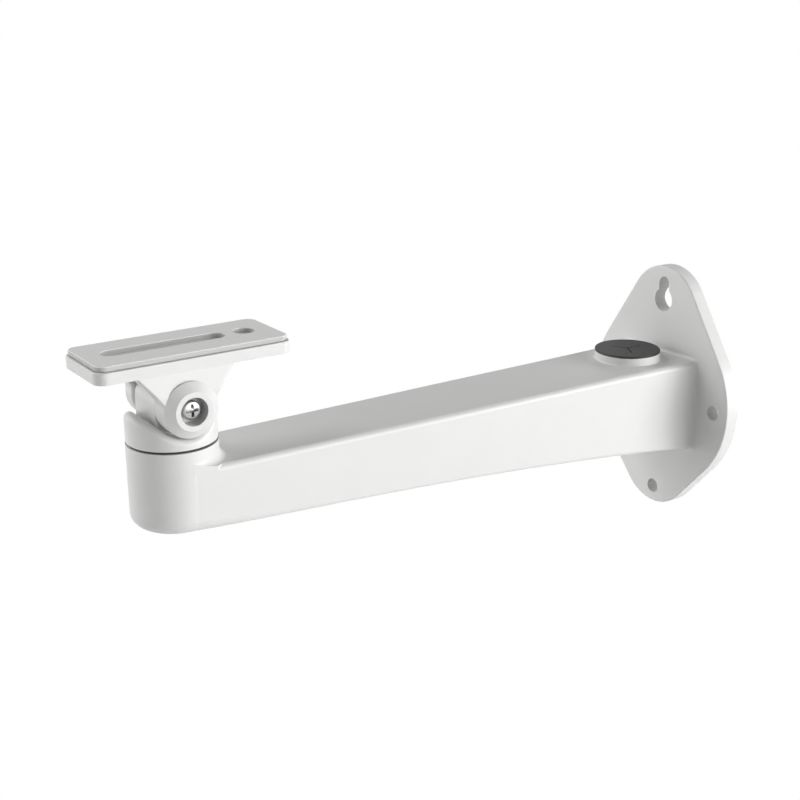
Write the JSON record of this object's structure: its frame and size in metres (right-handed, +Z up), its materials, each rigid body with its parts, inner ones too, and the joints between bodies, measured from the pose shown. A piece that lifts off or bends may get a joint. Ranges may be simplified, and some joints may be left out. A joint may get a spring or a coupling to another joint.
{
  "type": "camera wall bracket",
  "caption": "Cast wall arm with a screw-down flange, cable outlet, pan swivel and tilting slotted camera plate.",
  "frame": {"origin": "centre of the wall flange's back face, midway between its two side screw holes", "axes": "wall plane at Y = 0, arm along -Y, +Z up, X = 0 is the plane of symmetry and +X the tilt screw's side"},
  "size_m": [0.097, 0.3243, 0.1335],
  "materials": {
    "white_powder_coat": "satin",
    "black_rubber": "matte",
    "pad_white": "matte",
    "washer_black": "matte",
    "zinc_steel": "satin"
  },
  "bodies": {
    "arm": {"arm_casting": "white_powder_coat", "cable_plug": "black_rubber", "pan_friction_washer": "washer_black"},
    "swivel": {"swivel_base": "white_powder_coat", "pan_bolt": "zinc_steel", "pan_flat_washer": "zinc_steel", "pan_spring_washer": "zinc_steel"},
    "plate": {"camera_plate": "white_powder_coat", "plate_pad": "pad_white", "tilt_screw": "zinc_steel", "tilt_flat_washer": "zinc_steel", "tilt_spring_washer": "zinc_steel", "tilt_nut": "zinc_steel"}
  },
  "joints": [
    {"name": "pan", "type": "hinge", "parent": "arm", "child": "swivel", "pos_m": [0, -0.287, 0.033], "axis": [0, 0, 1], "continuous": true},
    {"name": "tilt", "type": "hinge", "parent": "swivel", "child": "plate", "pos_m": [0, -0.287, 0.0502], "axis": [1, 0, 0], "range_deg": [-40, 40]}
  ]
}
